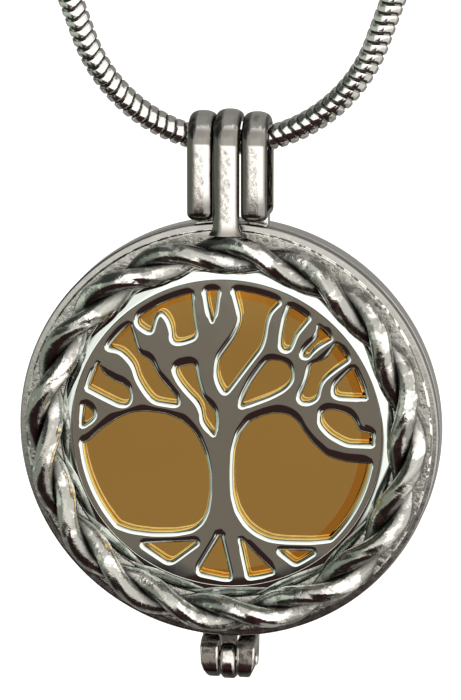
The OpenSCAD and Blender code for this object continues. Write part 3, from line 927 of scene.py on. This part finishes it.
def makeKnuckle(look):
    outline = barrel(look["knuckleBore"], look["knuckleRadius"], look["knuckleHalf"], look["edge"])
    bm = spinRound(outline, 48, axis="X")
    roundEdges(bm, look["knuckleSoft"], 2, 30.0)
    bmesh.ops.translate(bm, vec=(0, 0, look["pinHeight"]), verts=bm.verts)
    addBlock(bm, *look["web"], look["webRound"], 2)
    paintHingeShade(bm, look, True)
    addPiece("middleKnuckle", bm, metals["hinge"], "front", ["front_cover"])


def makePin(look):
    outline = barrel(0, look["pinRadius"], look["lugTo"] + look["pinBeyond"], look["pinBroken"])
    bm = spinRound(outline, 32, axis="X", closed=False)
    bmesh.ops.translate(bm, vec=(0, 0, look["pinHeight"]), verts=bm.verts)
    addPiece("hingePin", bm, metals["smooth"], "back", ["hinge_pin"])


capsule = {
    "centre": (-0.408, 0, -0.190),
    "steps": 160,
    "tilt": -0.04,  # degrees, its face a little upwards
    "soft": 0.03,
    "mirrorRadius": 9.9,
    "ringDepth": 0.6,
    # radius and depth in front of the middle
    "capsuleLid": [(0, 0.98), (9.9, 0.98), (10.5, 0.98), (10.5, 0.45), (11.85, 0.45), (12.45, 0.15),
                   (12.45, -0.55), (11.25, -0.55), (11.25, -1.25), (10.65, -1.25), (10.65, -0.15),
                   (0, -0.15)],
    "capsuleCup": [(0, -3.05), (12.2, -3.05), (12.45, -2.8), (12.45, -0.56), (11.26, -0.56), (11.26, -2.45),
                   (0, -2.45)],
}


def makeCapsule(look):
    tilt = Matrix.Rotation(math.radians(look["tilt"]), 3, "X")
    for name, node in (("capsuleLid", "capsule_lid"), ("capsuleCup", "capsule_cup")):
        bm = spinRound([(r, -d) for r, d in look[name]], look["steps"], closed=False)
        roundEdges(bm, look["soft"], 2, 35.0)
        for face in bm.faces:  # the ring round the mirror is a darker gold, painted shade
            middle = face.calc_center_median()
            aside = math.hypot(middle.x, middle.z) > look["mirrorRadius"]
            face.material_index = int(aside and middle.y < -look["ringDepth"])
        bmesh.ops.rotate(bm, cent=(0, 0, 0), matrix=tilt, verts=bm.verts)
        bmesh.ops.translate(bm, vec=look["centre"], verts=bm.verts)
        addPiece(name, bm, [metals["gold"], metals["amberShade"]], "back", [node], crease=20.0)


makeBackShell(backCover)
makeLugs(hinge)
makeKnuckle(hinge)
makePin(hinge)
makeCapsule(capsule)
print("back cover, hinge and capsule made")


# snake chain, measured from the hanging point
snakeChain = {
    "lowBend": ((0.0, -186.538), 11.0),  # centre and radius
    "neckBend": ((6.5, -49.695), 51.695),
    "lean": 20.0,  # degrees that the straight runs lean outwards
    "claspEnd": 2.6,  # where the links end, aside of the clasp's middle
    "pitch": 0.73,
    "radius": 0.9,
    "sides": 16,
    "wave": 0.18,  # how far a link's edges wave up and down the chain
    # one link's outline: how far inside the radius, and where along the chain
    "band": [(0.16, -0.315), (0.02, -0.215), (0.0, 0.0), (0.02, 0.215), (0.16, 0.315)],
    # the dark tube inside the links, painted shade in the gaps between them
    "shadeCoreInset": 0.17,
    "shadeCoreSides": 12,
    "shadeCoreSteps": 240,
}


def chainRoute(look):
    # the place at any length along the right half, from the lowest point to the clasp, and the half's length
    (lowX, lowZ), lowR = look["lowBend"]
    (neckX, neckZ), neckR = look["neckBend"]
    lean = math.radians(look["lean"])
    lowStretch = lowR * (math.pi / 2 - lean)
    start = Vector((lowX + lowR * math.cos(lean), lowZ - lowR * math.sin(lean)))
    end = Vector((neckX + neckR * math.cos(lean), neckZ - neckR * math.sin(lean)))
    straight = (end - start).length
    neckStretch = neckR * (math.pi / 2 + lean)
    claspRun = neckX - look["claspEnd"]

    def at(s):
        # (x, z, direction angle) along the right half
        if s < lowStretch:
            a = -math.pi / 2 + s / lowR
            return lowX + lowR * math.cos(a), lowZ + lowR * math.sin(a), a + math.pi / 2
        s -= lowStretch
        if s < straight:
            p = start + (end - start) * (s / straight)
            return p.x, p.y, math.pi / 2 - lean
        s -= straight
        if s < neckStretch:
            a = -lean + s / neckR
            return neckX + neckR * math.cos(a), neckZ + neckR * math.sin(a), a + math.pi / 2
        s -= neckStretch
        return neckX - s, neckZ + neckR, math.pi

    return at, lowStretch + straight + neckStretch + claspRun


def chainPlace(at, s):
    # s is the length from the lowest point, negative on the left
    x, z, angle = at(abs(s))
    if s < 0:
        x, angle = -x, -angle
    along = Vector((math.cos(angle), 0, math.sin(angle)))
    front = Vector((0, -1, 0))
    across = front.cross(along)
    return Matrix.Translation((x, 0, z)) @ Matrix((front, across, along)).transposed().to_4x4()


def makeSnakeChain(look):
    at, half = chainRoute(look)
    count = int(2 * half / look["pitch"])
    pitch = 2 * half / count
    bands = []
    for phase in (0.0, math.radians(45)):  # the left half's link and the right half's
        bm = bmesh.new()
        verts = [bm.verts.new((look["radius"] - inset, 0, along)) for inset, along in look["band"]]
        edges = [bm.edges.new(pair) for pair in zip(verts, verts[1:])]
        bmesh.ops.spin(bm, geom=verts + edges, cent=(0, 0, 0), axis=(0, 0, 1), angle=math.tau,
                       steps=look["sides"], use_merge=True)
        bmesh.ops.recalc_face_normals(bm, faces=bm.faces)
        if sum(f.normal.dot(f.calc_center_median()) for f in bm.faces) < 0:
            bmesh.ops.reverse_faces(bm, faces=bm.faces)
        for v in bm.verts:
            v.co.z += look["wave"] * math.cos(2 * (math.atan2(v.co.y, v.co.x) + phase))
        mesh = bpy.data.meshes.new("band")
        bm.to_mesh(mesh)
        bm.free()
        bands.append(mesh)
    bm = bmesh.new()
    for i in range(count):
        s = -half + (i + 0.5) * pitch
        had = len(bm.verts)
        bm.from_mesh(bands[0] if s < 0 else bands[1])
        bm.verts.ensure_lookup_table()
        bmesh.ops.transform(bm, matrix=chainPlace(at, s), verts=bm.verts[had:])
    addPiece("snakeChainLinks", bm, metals["chain"], "chain", ["snake_chain"],
             shift=hangPoint, crease=40.0, flatWeights=False)
    # a dark tube inside the links, as painted shade in the gaps between them
    shadeCore = bmesh.new()
    r, sides, steps = look["radius"] - look["shadeCoreInset"], look["shadeCoreSides"], look["shadeCoreSteps"]
    ring = [(r * math.cos(a), r * math.sin(a), 0) for a in (math.tau * i / sides for i in range(sides))]
    sweep(shadeCore, ring, [chainPlace(at, -half + 2 * half * i / steps) for i in range(steps + 1)])
    bmesh.ops.recalc_face_normals(shadeCore, faces=shadeCore.faces)
    addPiece("snakeChainShadeCore", shadeCore, metals["shadeCore"], "chain", ["snake_chain"],
             shift=hangPoint, flatWeights=False)
    print("chain:", count, "links over", round(2 * half, 1), "mm")


barrelClasp = {
    "outline": [(0.95, -6.5), (1.55, -6.5), (1.9, -6.2), (2.0, -5.6), (2.0, -0.55), (1.8, -0.35),
                (1.8, 0.35), (2.0, 0.55), (2.0, 5.6), (1.9, 6.2), (1.55, 6.5), (0.95, 6.5)],
    "height": 2.0,
    "soft": 0.08,
}


def makeClasp(look):
    bm = spinRound(look["outline"], 64, axis="X")
    roundEdges(bm, look["soft"], 2, 20.0)
    bmesh.ops.translate(bm, vec=(0, 0, look["height"]), verts=bm.verts)
    addPiece("barrelClasp", bm, metals["smooth"], "chain", ["barrel_clasp"],
             shift=hangPoint)


makeSnakeChain(snakeChain)
makeClasp(barrelClasp)
print("chain and clasp made")
